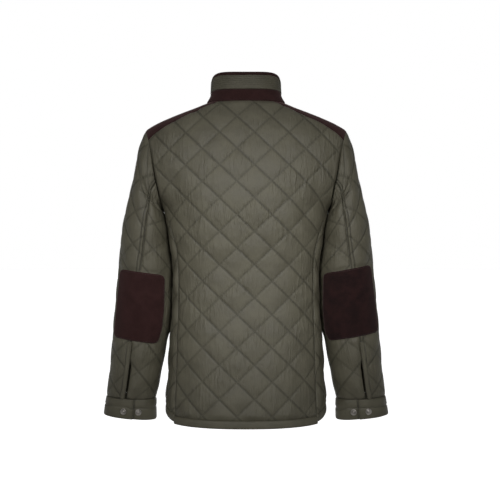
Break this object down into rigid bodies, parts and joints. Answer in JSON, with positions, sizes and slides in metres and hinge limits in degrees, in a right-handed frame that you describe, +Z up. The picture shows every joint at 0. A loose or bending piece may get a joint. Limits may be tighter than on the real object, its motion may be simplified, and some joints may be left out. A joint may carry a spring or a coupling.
{
  "type": "quilted jacket",
  "caption": "Hip-length diamond-quilted jacket with a stand collar, contrast shoulder yokes and elbow patches, and snap cuffs, filled out as worn.",
  "frame": {"origin": "midway between the shoulders, level with the sides of the neck, where the wearer's shoulders carry the jacket", "axes": "+Z up, +Y out of the back, +X towards the wearer's left arm"},
  "size_m": [0.675, 0.2714, 0.8057],
  "materials": {
    "quilted_taffeta": "olive polyester taffeta with a slight sheen, quilted over wadding",
    "plain_taffeta": "olive polyester taffeta, plain, on bands, cuffs, vent strips and the upper collar",
    "brown_moleskin": "dark brown brushed cotton moleskin with a short matt nap",
    "gunmetal_snap": "dark gunmetal plating, slightly worn"
  },
  "bodies": {
    "root": {"back_panel": "quilted_taffeta", "front_left": "quilted_taffeta", "front_right": "quilted_taffeta", "yoke_left": "brown_moleskin", "yoke_right": "brown_moleskin", "hem_band_back": "plain_taffeta", "hem_band_left": "plain_taffeta", "hem_band_right": "plain_taffeta", "front_placket": "plain_taffeta", "collar_stand": "brown_moleskin", "collar_upper": "plain_taffeta", "collar_facing": "brown_moleskin", "sleeve_top_left": "quilted_taffeta", "sleeve_top_right": "quilted_taffeta", "sleeve_under_left": "quilted_taffeta", "sleeve_under_right": "quilted_taffeta", "elbow_patch_left": "brown_moleskin", "elbow_patch_right": "brown_moleskin", "vent_strip_left": "plain_taffeta", "vent_strip_right": "plain_taffeta", "cuff_left": "plain_taffeta", "cuff_right": "plain_taffeta", "cuff_snap_1_left": "gunmetal_snap", "cuff_snap_1_right": "gunmetal_snap", "cuff_snap_2_left": "gunmetal_snap", "cuff_snap_2_right": "gunmetal_snap", "front_snap_1": "gunmetal_snap", "front_snap_2": "gunmetal_snap", "front_snap_3": "gunmetal_snap", "front_snap_4": "gunmetal_snap", "front_snap_5": "gunmetal_snap", "front_snap_6": "gunmetal_snap"}
  },
  "joints": []
}
